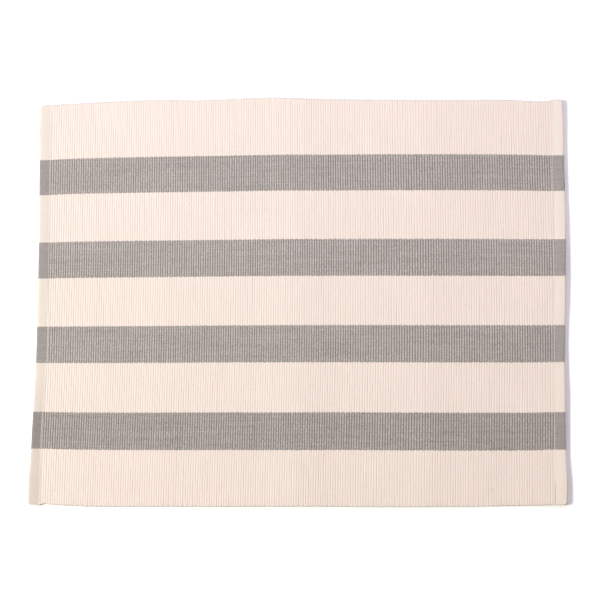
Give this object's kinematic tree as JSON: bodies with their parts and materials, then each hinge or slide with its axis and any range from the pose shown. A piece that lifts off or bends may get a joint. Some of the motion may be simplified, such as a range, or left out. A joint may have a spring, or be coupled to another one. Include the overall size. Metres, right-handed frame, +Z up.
{
  "type": "fabric placemat",
  "caption": "Flat rectangular table placemat of thick ribbed cotton, cream with broad dark stripes along its length and turned hems at its short ends.",
  "frame": {"origin": "middle of the footprint, on the surface that the mat lies on", "axes": "+X along the long side, which the stripes follow; +Y along the short side, which the ribs follow, away from the viewer; +Z up through the cloth"},
  "size_m": [0.457, 0.3522, 0.0032],
  "materials": {
    "ribbed_cotton": "matte warp-faced rib weave, cream with dark grey-brown stripes"
  },
  "bodies": {
    "root": {"ribbed_cloth": "ribbed_cotton"}
  },
  "joints": []
}
